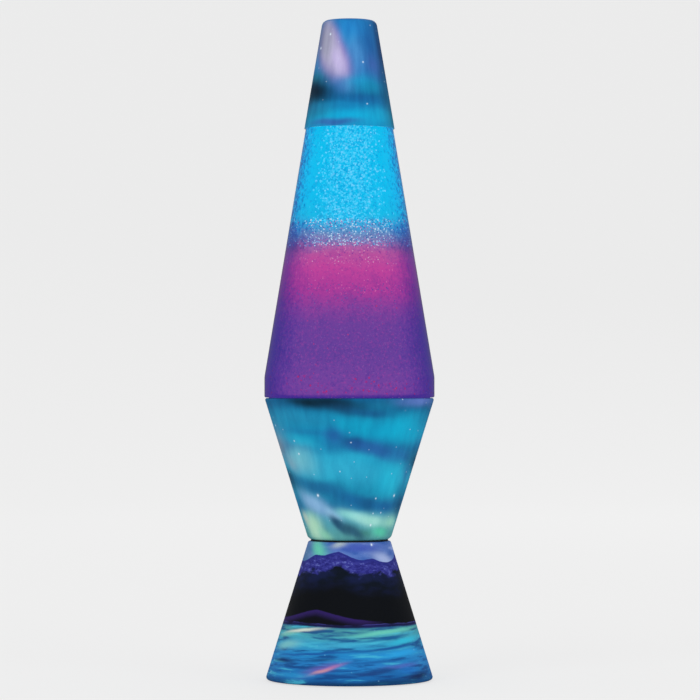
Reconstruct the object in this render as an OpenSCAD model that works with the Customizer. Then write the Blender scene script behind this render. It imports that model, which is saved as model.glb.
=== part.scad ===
// Glitter-filled lava lamp: a two-cone metal base, a bulb in a socket at its waist,
// a sealed tapered glass globe that rests on the base's rim, and a loose metal cap.
// Units are millimetres. +Z is up, the origin is the middle of the feet's plane,
// -Y is the front and the cord inlet is at the back, +Y.

/* [Base] */
// Radius of the foot, at the bottom of its sloping wall
foot_r = 46.9; // [45:0.1:47.3]
// Gap between the rolled hem and the surface that the feet stand on
foot_lift = 0.6; // [0.4:0.1:1.2]
// Radius of both cones where they meet at the waist
waist_r = 22.9; // [22.5:0.1:24]
// Height of the lower cone's top
waist_z = 77.8; // [76:0.1:79]
// Height of the upper cone's rim
rim_z = 157.4; // [156.8:0.1:158]
// Radius of the upper cone's rim
rim_r = 47.4; // [47:0.1:48]
// Thickness of the spun sheet
sheet_t = 0.9; // [0.7:0.1:1]
// Radius of the curl in the foot's hem
hem_r = 1.4; // [1.2:0.1:1.6]
// Thickness of the gasket in the waist
gasket_t = 0.8; // [0.5:0.1:1.2]
// Radius of the bottom cover
cover_r = 44.3; // [44.2:0.1:44.4]

/* [Globe] */
// Radius of the globe's widest band
globe_r = 47.46; // [47.3:0.01:47.8]
// Height of the top of that band
band_top_z = 169.2; // [166:0.1:172]
// Thickness of the glass
glass_t = 2.4; // [2:0.1:2.8]
// Height of the ring that the globe stands on when it is off the base
heel_z = 139; // [138.5:0.1:140]
// Height that the liquid is filled to
fill_z = 325; // [318:1:327]
// How many glitter flakes are drawn
flake_count = 60; // [20:1:120]

/* [Cap] */
// Height of the whole lamp
lamp_h = 368.3; // [367:0.1:372]
// Height of the cap's open rim
cap_rim_z = 307.8; // [305:0.1:310]
// Outer radius of that rim
cap_rim_r = 25.2; // [25.1:0.01:25.6]
// Outer radius of the cap's wall line at the closed top
cap_top_r = 14.95; // [14.7:0.01:15.5]
// Thickness of the cap's drawn sheet
cap_t = 0.5; // [0.4:0.05:0.6]

/* [Bulb and socket] */
// Height of the bulb's tip contact
bulb_z = 71; // [70.8:0.1:71.2]
// Length of the bulb, tip to top
bulb_len = 59; // [58:0.1:61]
// Radius of the bulb
bulb_r = 17.45; // [17:0.01:18]
// Pitch of the intermediate (17 mm) lamp thread
thread_pitch = 2.82; // [2.82]
// Crest radius of that thread on the bulb
thread_crest_r = 8.3; // [8.3]
// Radius of the hole in the cord gland
cord_r = 2.7; // [2.5:0.1:2.9]

/* [Hidden] */
$fn = 96;
arc_steps = 7;

// Sloping walls: slope, tilt from vertical and the wall's thickness along a radius.
foot_slope = (foot_r - waist_r) / (waist_z - foot_lift);
foot_tilt = atan(foot_slope);
foot_wall = sheet_t / cos(foot_tilt);
floor_z = waist_z + gasket_t;
floor_top_z = floor_z + sheet_t;
holder_slope = (rim_r - waist_r) / (rim_z - floor_z);
holder_tilt = atan(holder_slope);
holder_wall = sheet_t / cos(holder_tilt);
cap_slope = (cap_rim_r - cap_top_r) / (lamp_h - cap_rim_z);
cap_wall = cap_t / cos(atan(cap_slope));

// Waist joint
waist_hole_r = 15.2;
waist_corner_r = 3.5;
gasket_r = waist_r - 1.3;
screw_ring_r = 17.7;
screw_angles = [45, 135, 225, 315];
screw_r = 1.25;
washer_t = 0.5;
nut_h = 2;
nut_across_corners_r = 2.9;

// Socket bracket
bracket_t = 0.8;
bracket_ring_r = 20.1;
leg_x = 13.4;
strap_w = 9;
web_top_z = 61.2;
socket_screw_x = 7;
socket_screw_r = 1.5;

// Socket
socket_r = 12.6;
socket_top_z = bulb_z + 24;
socket_bore_r = 9.25;
contact_well_r = 7;
contact_well_z = bulb_z - 1.7;
shell_seat_z = bulb_z + 3;
flat_y = 11.4;
terminal_t = 0.8;
terminal_z = 66.3;
contact_t = 0.4;

// Bulb
thread_depth = 0.6;
thread_z = bulb_z + 5.4;
thread_turns = 4;
thread_top_z = thread_z + thread_turns * thread_pitch;
bulb_sheet_t = 0.35;
bulb_neck_z = bulb_z + 17.6;
collar_r = thread_crest_r + 0.1;
cement_t = 0.12;
bulb_neck_r = collar_r - bulb_sheet_t - cement_t;
bulb_glass_t = 0.7;
filament_z = bulb_z + 45;
filament_ring_r = 6.5;

// Globe and its closure
seat_gap = 0.3;
shoulder_z = rim_z + seat_gap;
shoulder_r = rim_r - 2.5;
neck_z = 331;
neck_r = 12.4;
lip_r = 13.1;
lip_z = 351;
mouth_r = 9;
liner_t = 0.6;
crown_t = 0.3;
crown_skirt_z = lip_z - 5.4;
crown_flutes = 21;
liquid_gap = 0.2;

// Bottom cover, its feet and the cord gland
cover_z = foot_lift + 2 * hem_r + 0.1;
cover_t = 1.6;
pad_r = 5.6;
pad_ring_r = 34;
vent_count = 8;
gland_z = 14;

// Leads inside the base
lead_r = 1.1;
lead_sides = 10;
splice_r = 2.9;
splice_z = 11.5;
splice_x = 9;
// Middle line of each lead, from its terminal to its splice cap
live_route = [[0, 12.6, 61.9], [0, 12.8, 56], [3, 15, 48], [6, 19, 38], [8, 24, 26], [9, 27, 17],
              [9, 25, 12], [9, 21, 11.5], [9, 16, 11.5]];
neutral_route = [[0, -12.6, 61.9], [0, -12.8, 56], [-2, -10, 49], [-4, -2, 44], [-6, 8, 38],
                 [-8, 18, 30], [-9, 25, 20], [-9, 25, 12], [-9, 21, 11.5], [-9, 16, 11.5]];

// ---- Outlines -------------------------------------------------------------------------------

function unit(v) = v / norm(v);
function flat(p) = [p.x, p.y];

// Points of an arc about a centre
function arc(centre, r, from, to, n = arc_steps) =
    [for (k = [0:n]) centre + r * [cos(from + (to - from) * k / n), sin(from + (to - from) * k / n)]];

// The arc that rounds the corner at p, on the way from a to b
function corner(a, p, b, r) =
    let (
        u = unit(a - p),
        v = unit(b - p),
        half = acos(u * v) / 2,
        centre = p + unit(u + v) * r / sin(half),
        first = p + u * r / tan(half) - centre,
        last = p + v * r / tan(half) - centre,
        from = atan2(first.y, first.x),
        turn = atan2(cross(first, last), first * last)
    )
    arc(centre, r, from, from + turn);

// An open path of [radius, height, rounding] points as plain points
function rounded(path) = [
    for (i = [0:len(path) - 1])
        each let (inner = i > 0 && i < len(path) - 1, r = path[i][2])
            inner && r > 0
                ? corner(flat(path[i - 1]), flat(path[i]), flat(path[i + 1]), r)
                : [flat(path[i])]
];

module turned(outline) {
    rotate_extrude() polygon(outline);
}

// Radius of each sloping wall's outside, at a height
function foot_wall_r(z) = foot_r - foot_slope * (z - foot_lift);
function holder_wall_r(z) = waist_r + holder_slope * (z - floor_z);
function cap_wall_r(z) = cap_rim_r - cap_slope * (z - cap_rim_z);
glass_rim_r = cap_rim_r - cap_wall - seat_gap;
function glass_r(z) = globe_r + (glass_rim_r - globe_r) * (z - band_top_z) / (cap_rim_z - band_top_z);

module around(angles, r) {
    for (a = angles) rotate(a) translate([r, 0, 0]) children();
}

// A round bar from a to b
module rod(a, b, r) {
    d = b - a;
    translate(a) rotate([0, acos(d.z / norm(d)), atan2(d.y, d.x)]) cylinder(r = r, h = norm(d));
}

// A screw along +Z: its shank from z 0 up, and a round head below it
module pan_screw(r, length, head_r, head_h, drive = 0.5) {
    difference() {
        union() {
            cylinder(r = r, h = length);
            translate([0, 0, -head_h]) cylinder(r = head_r, h = head_h);
        }
        for (turn = [0, 90])
            rotate(turn) translate([-head_r * 0.6, -drive / 2, -head_h - 1])
                cube([head_r * 1.2, drive, head_h * 0.6 + 1]);
    }
}

// ---- Foot: pads, cover, lower cone and cord gland -------------------------------------------

module foot_pad(i) {
    color("dimgray") around([45 + 90 * i], pad_ring_r) turned(rounded([
        [0, 0, 0], [pad_r, 0, 0.6], [pad_r, cover_z, 0], [0, cover_z, 0]
    ]));
}

module bottom_cover() {
    ring_drop = 1.1;
    rib_h = 2.6;
    slot_w = 3;
    color("black") difference() {
        union() {
            translate([0, 0, cover_z]) cylinder(r = cover_r, h = cover_t);
            around([45:90:315], pad_ring_r) translate([0, 0, cover_z - ring_drop])
                cylinder(r = pad_r + 1.4, h = ring_drop + cover_t / 2);
            translate([0, 0, cover_z + cover_t / 2]) cylinder(r = 7, h = cover_t / 2 + rib_h);
            around([22.5:45:337.5], 6) translate([0, -0.6, cover_z + cover_t / 2])
                cube([34, 1.2, cover_t / 2 + rib_h]);
        }
        around([45:90:315], pad_ring_r) translate([0, 0, cover_z - ring_drop - 1])
            cylinder(r = pad_r + 0.15, h = ring_drop + 1);
        around([for (k = [0:vent_count - 1]) k * 360 / vent_count], 12)
            translate([0, 0, cover_z - 1]) {
                translate([0, -slot_w / 2, 0]) cube([12, slot_w, cover_t + 2]);
                cylinder(r = slot_w / 2, h = cover_t + 2);
                translate([12, 0, 0]) cylinder(r = slot_w / 2, h = cover_t + 2);
            }
    }
}

// Puts its children in the gland's own frame: +Z points out through the wall, z 0 is on its outside.
module at_gland() {
    translate([0, foot_wall_r(gland_z), gland_z]) rotate([foot_tilt - 90, 0, 0]) children();
}

module lower_base_cone() {
    curl_z = foot_lift + hem_r;
    touch_z = curl_z + hem_r * sin(foot_tilt);
    curl = [foot_wall_r(touch_z) - hem_r * cos(foot_tilt), curl_z];
    inner_turn = acos((hem_r - sheet_t) / hem_r);
    inner_z = waist_z - sheet_t;
    color("midnightblue") difference() {
        turned(concat(
            arc(curl, hem_r, foot_tilt + inner_turn - 360, foot_tilt, 4 * arc_steps),
            rounded([
                [foot_wall_r(touch_z + 1), touch_z + 1, 0],
                [waist_r, waist_z, 1.2],
                [waist_hole_r, waist_z, 0],
                [waist_hole_r, inner_z, 0],
                [foot_wall_r(inner_z) - foot_wall, inner_z, 0.6],
                [foot_wall_r(touch_z + 2) - foot_wall, touch_z + 2, 0]
            ])
        ));
        around(screw_angles, screw_ring_r) translate([0, 0, inner_z - 1])
            cylinder(r = screw_r + 0.25, h = sheet_t + 2);
        at_gland() translate([0, 0, -3]) cylinder(r = 4.05, h = 6);
    }
}

module cord_gland() {
    color("black") at_gland() turned(rounded([
        [cord_r, -2.9, 0], [5.4, -2.9, 0.6], [5.4, -1.45, 0], [4, -1.45, 0],
        [4, 0.05, 0], [6, 0.05, 0], [6, 1.7, 0.8], [cord_r, 1.7, 0]
    ]));
}

// ---- Waist: gasket, upper cone, bracket and fasteners ---------------------------------------

module waist_gasket() {
    color("black") difference() {
        translate([0, 0, waist_z]) cylinder(r = gasket_r, h = gasket_t);
        translate([0, 0, waist_z - 1]) cylinder(r = waist_hole_r, h = gasket_t + 2);
        around(screw_angles, screw_ring_r) translate([0, 0, waist_z - 1])
            cylinder(r = screw_r + 0.25, h = gasket_t + 2);
    }
}

module upper_base_cone() {
    lip_curl_r = 1;
    curl_z = rim_z - lip_curl_r;
    touch_z = curl_z - lip_curl_r * sin(holder_tilt);
    curl = [holder_wall_r(touch_z) - lip_curl_r * cos(holder_tilt), curl_z];
    inner_turn = acos((lip_curl_r - sheet_t) / lip_curl_r);
    color("teal") difference() {
        turned(concat(
            rounded([
                [waist_hole_r, floor_top_z, 0],
                [waist_hole_r, floor_z, 0],
                [waist_r, floor_z, waist_corner_r],
                [holder_wall_r(touch_z - 1), touch_z - 1, 0]
            ]),
            arc(curl, lip_curl_r, -holder_tilt, 360 - holder_tilt - inner_turn, 3 * arc_steps),
            rounded([
                [holder_wall_r(touch_z - 2) - holder_wall, touch_z - 2, 0],
                [holder_wall_r(floor_top_z) - holder_wall, floor_top_z, waist_corner_r - sheet_t],
                [waist_hole_r + 1, floor_top_z, 0]
            ])
        ));
        around(screw_angles, screw_ring_r) translate([0, 0, floor_z - 1])
            cylinder(r = screw_r + 0.25, h = sheet_t + 2);
    }
}

module socket_bracket() {
    web_z = web_top_z - bracket_t;
    ring_top_z = floor_top_z + bracket_t;
    color("silver") difference() {
        union() {
            difference() {
                translate([0, 0, floor_top_z]) cylinder(r = bracket_ring_r, h = bracket_t);
                translate([0, 0, floor_top_z - 1]) cylinder(r = 14.7, h = bracket_t + 2);
            }
            for (side = [0, 180]) rotate(side) {
                translate([leg_x, -strap_w / 2, web_z]) cube([bracket_t, strap_w, ring_top_z - web_z]);
                translate([leg_x, -strap_w / 2, floor_top_z]) cube([3, strap_w, bracket_t]);
            }
            translate([-leg_x - bracket_t, -strap_w / 2, web_z])
                cube([2 * (leg_x + bracket_t), strap_w, bracket_t]);
        }
        around(screw_angles, screw_ring_r) translate([0, 0, floor_top_z - 1])
            cylinder(r = screw_r + 0.25, h = bracket_t + 2);
        for (x = [-socket_screw_x, socket_screw_x]) translate([x, 0, web_z - 1])
            cylinder(r = socket_screw_r + 0.2, h = bracket_t + 2);
    }
}

module waist_screws() {
    head_z = floor_top_z + bracket_t;
    color("silver") around(screw_angles, screw_ring_r)
        translate([0, 0, head_z]) mirror([0, 0, 1]) pan_screw(screw_r, 8, 2.3, 1.7);
}

module waist_washers() {
    color("silver") around(screw_angles, screw_ring_r)
        translate([0, 0, waist_z - sheet_t - washer_t]) difference() {
            cylinder(r = 2.9, h = washer_t);
            translate([0, 0, -1]) cylinder(r = screw_r + 0.15, h = washer_t + 2);
        }
}

module waist_nuts() {
    color("silver") around(screw_angles, screw_ring_r)
        translate([0, 0, waist_z - sheet_t - washer_t - nut_h]) difference() {
            cylinder(r = nut_across_corners_r, h = nut_h, $fn = 6);
            translate([0, 0, -1]) cylinder(r = screw_r + 0.05, h = nut_h + 2);
        }
}

// ---- Socket and its wiring ------------------------------------------------------------------

module socket_body() {
    color("ivory") difference() {
        turned(rounded([
            [0, web_top_z, 0], [socket_r, web_top_z, 0.5], [socket_r, socket_top_z, 1.2],
            [socket_bore_r, socket_top_z, 0.6], [socket_bore_r, shell_seat_z, 0],
            [contact_well_r, shell_seat_z, 0], [contact_well_r, contact_well_z, 0.4],
            [0, contact_well_z, 0]
        ]));
        for (side = [0, 180]) rotate(side) {
            translate([-4.4, flat_y, web_top_z - 1]) cube([8.8, 3, 9.8]);
            translate([0, flat_y + 1, terminal_z]) rotate([90, 0, 0])
                cylinder(r = socket_screw_r + 0.05, h = 4.9);
            translate([socket_screw_x, 0, web_top_z - 1])
                cylinder(r = socket_screw_r + 0.05, h = 7.6);
        }
        translate([0, -4.8, contact_well_z - 2.5]) cylinder(r = 0.8, h = 3);
    }
}

module socket_screws() {
    color("silver") for (x = [-socket_screw_x, socket_screw_x])
        translate([x, 0, web_top_z - bracket_t]) pan_screw(socket_screw_r, 7, 2.6, 1.8);
}

// Radius of the lamp thread at a height: rolled rings, in phase on the bulb and in the socket.
function thread_r(z) =
    thread_crest_r - thread_depth / 2 - thread_depth / 2 * cos(360 * (z - thread_z) / thread_pitch);
// Points of the rolled thread, moved out by gap, from the bottom up
function thread(gap, steps = 8) = [
    for (k = [0:thread_turns * steps])
        let (z = thread_z + k * thread_pitch / steps) [thread_r(z) + gap, z]
];
function reversed(list) = [for (i = [len(list) - 1:-1:0]) list[i]];

module socket_shell() {
    gap = 0.2;
    wall = 0.4;
    top_z = thread_top_z + 4.2;
    sleeve_r = thread_crest_r + 0.45;
    color("goldenrod") turned(concat(
        [[7.1, shell_seat_z], [7.9 + wall, shell_seat_z]],
        thread(gap + wall),
        [[sleeve_r + wall, thread_top_z + 1.2], [sleeve_r + wall, top_z], [sleeve_r, top_z],
         [sleeve_r, thread_top_z + 1]],
        reversed(thread(gap)),
        [[7.9, shell_seat_z + wall], [7.1, shell_seat_z + wall]]
    ));
}

module centre_contact() {
    z = contact_well_z;
    tongue_z = bulb_z - 0.1;
    color("peru") difference() {
        translate([-2.5, 0, 0]) rotate([90, 0, 90]) linear_extrude(5) polygon([
            [-6.4, z], [-3, z], [-1, tongue_z - contact_t], [1.6, tongue_z - contact_t],
            [1.6, tongue_z], [-1.3, tongue_z], [-3.3, z + contact_t], [-6.4, z + contact_t]
        ]);
        translate([0, -4.8, z - 1]) cylinder(r = 0.8, h = 3);
    }
}

module contact_rivet() {
    z = contact_well_z;
    color("goldenrod") translate([0, -4.8, 0]) {
        translate([0, 0, z - 2.4]) cylinder(r = 0.75, h = 2.4 + contact_t);
        translate([0, 0, z + contact_t]) cylinder(r = 1.3, h = 0.5);
    }
}

module terminal_plate(i) {
    color("goldenrod") rotate(180 * i) difference() {
        translate([-3.6, flat_y, 62]) cube([7.2, terminal_t, 7.6]);
        translate([0, flat_y + 2, terminal_z]) rotate([90, 0, 0])
            cylinder(r = socket_screw_r + 0.1, h = 3);
    }
}

module terminal_screws() {
    color("goldenrod") for (side = [0, 180]) rotate(side)
        translate([0, flat_y + terminal_t, terminal_z]) rotate([90, 0, 0])
            pan_screw(socket_screw_r, 4.4, 2.5, 1.6);
}

// A point of the smooth curve through route's points, at t steps along it
function along(route, t) =
    let (
        last = len(route) - 1,
        i = min(floor(t), last - 1),
        s = t - i,
        a = route[max(i - 1, 0)],
        b = route[i],
        c = route[i + 1],
        d = route[min(i + 2, last)]
    )
    0.5 * (2 * b + (c - a) * s + (2 * a - 5 * b + 4 * c - d) * s * s + (3 * b - a - 3 * c + d) * s * s * s);

// A round tube along a route that never runs along X
module lead(route, per_step = 4) {
    count = (len(route) - 1) * per_step;
    line = [for (k = [0:count]) along(route, k / per_step)];
    rings = [
        for (k = [0:count])
            let (
                forward = unit(line[min(k + 1, count)] - line[max(k - 1, 0)]),
                across = unit(cross(forward, [1, 0, 0])),
                side = cross(forward, across)
            )
            for (j = [0:lead_sides - 1])
                line[k] + lead_r * (across * cos(360 * j / lead_sides) + side * sin(360 * j / lead_sides))
    ];
    walls = [
        for (k = [0:count - 1], j = [0:lead_sides - 1])
            let (a = k * lead_sides + j, b = k * lead_sides + (j + 1) % lead_sides)
            [a, a + lead_sides, b + lead_sides, b]
    ];
    ends = [
        [for (j = [0:lead_sides - 1]) j],
        [for (j = [lead_sides - 1:-1:0]) count * lead_sides + j]
    ];
    polyhedron(rings, concat(walls, ends), convexity = 4);
}

module live_lead() {
    color("saddlebrown") lead(live_route);
}

module neutral_lead() {
    color("whitesmoke") lead(neutral_route);
}

// A closed-end crimp cap, its mouth towards the back
module splice_cap(side) {
    color("ivory") translate([side * splice_x, 2, splice_z]) rotate([-90, 0, 0]) turned(rounded([
        [0, 0, 0], [splice_r - 0.5, 0, 0.9], [splice_r - 0.4, 9, 0], [splice_r, 10, 0],
        [splice_r, 15.5, 0.4], [lead_r + 0.05, 15.5, 0], [lead_r + 0.05, 13.9, 0], [0, 13.9, 0]
    ]));
}

// ---- Bulb -----------------------------------------------------------------------------------

module bulb_tip() {
    color("silver") turned(rounded([
        [0, bulb_z, 0], [2.4, bulb_z, 0.9], [2.4, bulb_z + 1.2, 0], [0, bulb_z + 1.2, 0]
    ]));
}

module bulb_insulator() {
    color("black") turned([
        [0, bulb_z + 1.2], [3.6, bulb_z + 1.2], [6.55, bulb_z + 4.3], [6.55, bulb_z + 6.5],
        [0, bulb_z + 6.5]
    ]);
}

module bulb_screw_shell() {
    top_z = bulb_z + 21.8;
    color("silver") turned(concat(
        [[6.65, bulb_z + 4.3], [7.2, bulb_z + 4.5]],
        thread(0),
        [[collar_r, thread_top_z + 0.8], [collar_r, top_z], [collar_r - bulb_sheet_t, top_z],
         [collar_r - bulb_sheet_t, thread_top_z + 1]],
        reversed(thread(-bulb_sheet_t)),
        [[6.85, bulb_z + 4.8], [6.65, bulb_z + 4.7]]
    ));
}

module bulb_glass() {
    top_z = bulb_z + bulb_len;
    belly_z = bulb_z + 36;
    inner_r = bulb_r - bulb_glass_t;
    color("lightcyan", 0.4) turned(rounded([
        [bulb_neck_r, bulb_neck_z, 0], [bulb_neck_r, bulb_neck_z + 5.4, 6], [bulb_r, belly_z, 14],
        [bulb_r, top_z, bulb_r - 0.05], [0, top_z, 0], [0, top_z - bulb_glass_t, 0],
        [inner_r, top_z - bulb_glass_t, inner_r - 0.05], [inner_r, belly_z + 0.2, 13.3],
        [bulb_neck_r - bulb_glass_t, bulb_neck_z + 5.6, 6.7],
        [bulb_neck_r - bulb_glass_t, bulb_neck_z, 0]
    ]));
}

module bulb_stem() {
    flare_r = bulb_neck_r - bulb_glass_t - cement_t;
    color("lightcyan", 0.5) {
        turned(rounded([
            [0, bulb_neck_z, 0], [flare_r, bulb_neck_z, 0], [flare_r, bulb_neck_z + 1, 0],
            [2.2, bulb_neck_z + 10, 4], [2.2, bulb_neck_z + 16, 0], [0, bulb_neck_z + 16, 0]
        ]));
        translate([-2.6, -1.1, bulb_neck_z + 15]) cube([5.2, 2.2, 4]);
    }
}

// Where the filament ring's wires end: the two leads at 0 and 180 degrees, the supports between
function on_filament(a) = [filament_ring_r * cos(a), filament_ring_r * sin(a), filament_z];

module bulb_wires() {
    press_z = bulb_neck_z + 18;
    color("gray") {
        for (a = [0, -180]) rod([1.6 * cos(a), 0, press_z], on_filament(a), 0.3);
        for (a = [-60, -120]) rod([0.5 * cos(a), 0, press_z], on_filament(a), 0.18);
    }
}

module bulb_filament() {
    color("orange") translate([0, 0, filament_z]) rotate([0, 0, 180])
        rotate_extrude(angle = 180) translate([filament_ring_r, 0]) circle(r = 0.45, $fn = 16);
}

// ---- Globe ----------------------------------------------------------------------------------

// Inside of the glass from the middle of its floor up to the neck, moved in by gap
function globe_inside(gap) =
    let (floor_z = heel_z + 4.6, t = glass_t + gap) [
        [0, heel_z + 7.5 + gap, 0], [31, floor_z + gap, 4], [35.6 - gap, floor_z + gap, 4],
        [shoulder_r - t, shoulder_z + 1, 6], [globe_r - t, shoulder_z + 6, 6],
        [globe_r - t, band_top_z, 14]
    ];

module globe_glass() {
    color("mediumpurple", 0.5) turned(rounded(concat(
        [
            [0, heel_z + 3.5, 0], [30, heel_z + 0.2, 4], [33, heel_z, 2], [38.4, heel_z, 4],
            [shoulder_r, shoulder_z, 0.8], [globe_r, shoulder_z, 0.9], [globe_r, band_top_z, 15],
            [glass_r(neck_z), neck_z, 7], [neck_r, neck_z + 8, 5], [neck_r, lip_z - 5.4, 0.8],
            [lip_r, lip_z - 4.6, 0.4], [lip_r, lip_z, 2], [mouth_r, lip_z, 1],
            [mouth_r, neck_z + 8.6, 6], [glass_r(neck_z) - glass_t, neck_z - 0.6, 6]
        ],
        reversed(globe_inside(0))
    )));
}

module liquid_fill() {
    color("magenta", 0.4) turned(rounded(concat(
        globe_inside(liquid_gap),
        [[glass_r(fill_z) - glass_t - liquid_gap, fill_z, 0], [0, fill_z, 0]]
    )));
}

// Hexagonal flakes spread through the liquid on a golden-angle spiral
module glitter() {
    golden = 137.508;
    low_z = heel_z + 14;
    color("white") for (i = [0:flake_count - 1]) {
        z = low_z + (fill_z - 8 - low_z) * (i + 0.5) / flake_count;
        reach = (min(glass_r(z), globe_r) - glass_t - 4) * (0.45 + 0.55 * abs(sin(golden * i * 1.7)));
        rotate(golden * i) translate([reach, 0, z])
            rotate([golden * i * 2, golden * i * 3, 0]) cylinder(r = 0.8, h = 0.15, $fn = 6);
    }
}

module crown_liner() {
    color("ivory") translate([0, 0, lip_z]) cylinder(r = 11.8, h = liner_t);
}

module crown_cap() {
    top_z = lip_z + liner_t;
    skirt_r = 14.6;
    color("gold") {
        turned(rounded([
            [0, top_z, 0], [13.3, top_z, 1.7], [skirt_r - crown_t, crown_skirt_z, 0],
            [skirt_r, crown_skirt_z, 0], [13.6, top_z + crown_t, 2], [0, top_z + crown_t, 0]
        ]));
        around([for (k = [0:crown_flutes - 1]) k * 360 / crown_flutes], skirt_r - 0.1)
            translate([0, 0, crown_skirt_z]) cylinder(r1 = 0.6, r2 = 0.15, h = 4);
    }
}

// ---- Cap ------------------------------------------------------------------------------------

module cap_shell() {
    inner_z = lamp_h - cap_t;
    color("steelblue") turned(rounded([
        [cap_rim_r - cap_wall, cap_rim_z, 0], [cap_rim_r, cap_rim_z, 0], [cap_top_r, lamp_h, 3.5],
        [0, lamp_h, 0], [0, inner_z, 0], [cap_wall_r(inner_z) - cap_wall, inner_z, 3],
        [cap_rim_r - cap_wall, cap_rim_z, 0]
    ]));
}

// ---- The lamp -------------------------------------------------------------------------------

for (i = [1:4]) foot_pad(i);
bottom_cover();
lower_base_cone();
cord_gland();
waist_gasket();
upper_base_cone();
socket_bracket();
waist_screws();
waist_washers();
waist_nuts();
socket_body();
socket_screws();
socket_shell();
centre_contact();
contact_rivet();
for (i = [1, 2]) terminal_plate(i);
terminal_screws();
live_lead();
neutral_lead();
for (i = [1, 2]) splice_cap(3 - 2 * i);
bulb_tip();
bulb_insulator();
bulb_screw_shell();
bulb_glass();
bulb_stem();
bulb_wires();
bulb_filament();
globe_glass();
liquid_fill();
glitter();
crown_liner();
crown_cap();
cap_shell();
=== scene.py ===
"""A lit, glitter-filled lava lamp with an aurora print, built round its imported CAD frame.

Lengths are in millimetres, in the CAD model's frame, until a mesh is made. Azimuth 0 is the front, -Y.
"""

import math

import bmesh
import bpy
import numpy as np
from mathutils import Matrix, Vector


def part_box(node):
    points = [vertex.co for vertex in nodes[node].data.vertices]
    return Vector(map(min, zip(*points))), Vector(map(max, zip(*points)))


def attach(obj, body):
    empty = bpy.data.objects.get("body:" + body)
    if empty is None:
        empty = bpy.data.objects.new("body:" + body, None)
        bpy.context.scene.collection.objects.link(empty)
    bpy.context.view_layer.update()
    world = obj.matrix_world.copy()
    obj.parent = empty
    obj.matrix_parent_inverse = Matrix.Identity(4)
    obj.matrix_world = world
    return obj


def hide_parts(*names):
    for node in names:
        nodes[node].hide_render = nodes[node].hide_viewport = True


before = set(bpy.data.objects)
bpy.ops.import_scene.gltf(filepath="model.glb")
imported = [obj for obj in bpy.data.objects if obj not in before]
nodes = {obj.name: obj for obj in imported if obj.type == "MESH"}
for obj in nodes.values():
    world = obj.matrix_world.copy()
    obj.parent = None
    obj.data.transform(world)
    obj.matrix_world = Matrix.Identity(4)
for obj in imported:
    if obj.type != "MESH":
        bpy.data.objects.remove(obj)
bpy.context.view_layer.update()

MM = 0.001
AROUND = 256  # steps round a turned piece
ON_AXIS = 1e-6  # a radius smaller than this is a point on the axis
SHARP = math.radians(38)  # folds steeper than this stay crisp
rng = np.random.default_rng(7)


def node_top(node):
    """Height of a CAD node's top, in millimetres."""
    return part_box(node)[1][2] / MM


def node_foot(node):
    """Height of a CAD node's underside, in millimetres."""
    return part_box(node)[0][2] / MM


# ---- Driving dimensions, as in the CAD model ----

LAMP_H = node_top("cap_shell")
CAP_RIM_Z = node_foot("cap_shell")
CAP_RIM_R = 25.2
CAP_TOP_R = 14.95
CAP_T = 0.5
CAP_SLOPE = (CAP_RIM_R - CAP_TOP_R) / (LAMP_H - CAP_RIM_Z)

FOOT_R = 46.9
FOOT_LIFT = node_foot("lower_base_cone")
WAIST_R = 22.9
WAIST_Z = node_top("lower_base_cone")
WAIST_HOLE_R = 15.2
WAIST_CORNER_R = 3.5
FLOOR_Z = node_foot("upper_base_cone")
RIM_Z = node_top("upper_base_cone")
RIM_R = 47.4
SHEET_T = 0.9
HEM_R = 1.4
RIM_CURL_R = 1.0
FOOT_SLOPE = (FOOT_R - WAIST_R) / (WAIST_Z - FOOT_LIFT)
HOLDER_SLOPE = (RIM_R - WAIST_R) / (RIM_Z - FLOOR_Z)
FOOT_TILT = math.atan(FOOT_SLOPE)
HOLDER_TILT = math.atan(HOLDER_SLOPE)
GLAND_Z = 14
GLAND_HOLE_R = 4.05

GLOBE_R = 47.46
BAND_TOP_Z = 169.2
GLASS_T = 2.4
HEEL_Z = node_foot("globe_glass")
HEEL_R = 38.4
HEEL_REST_R = 33
PUNT_R = 30
PUNT_H = 3.5
SHOULDER_Z = RIM_Z + 0.3
SHOULDER_R = RIM_R - 2.5
NECK_Z = 331
NECK_R = 12.4
LIP_R = 13.1
LIP_Z = node_top("globe_glass")
LIP_H = 4.6
MOUTH_R = 9
FILL_Z = node_top("liquid_fill")
FLOOR_T = 4.6
FLOOR_R = 31
GLASS_RIM_R = CAP_RIM_R - CAP_T / math.cos(math.atan(CAP_SLOPE)) - 0.3
CLEAR_SKIN = 1.7  # clear liquid between the glass and the cloudy, glowing liquid
FLAKE_T = 0.07
FLAKE_GAP = 0.55  # from the glass to the middle of the nearest flake
FLAKE_REACH = 1.35  # from the nearest flake to the deepest
FLAKE_TILT = 0.42  # spread of the flakes' leaning

CROWN_Z = node_top("crown_cap")
CROWN_SKIRT_Z = LIP_Z - 5.4
CROWN_SKIRT_R = 14.6
CROWN_TOP_R = 13.6
CROWN_T = 0.3
CROWN_FLUTES = 21
LINER_T = 0.6

BULB_Z = node_foot("bulb_tip")
FILAMENT_Z = BULB_Z + 45
FILAMENT_R = 6.5
COIL_R = 0.36
COIL_TURNS = 64
WIRE_R = 0.09


# ---- Outlines and meshes ----


def unit(v):
    """The vector v at length 1."""
    return v / np.linalg.norm(v)


def arc(centre, r, start, end, steps):
    """Points of an arc, its angles in radians."""
    return [
        (centre[0] + r * math.cos(a), centre[1] + r * math.sin(a))
        for a in np.linspace(start, end, steps + 1)
    ]


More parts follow.
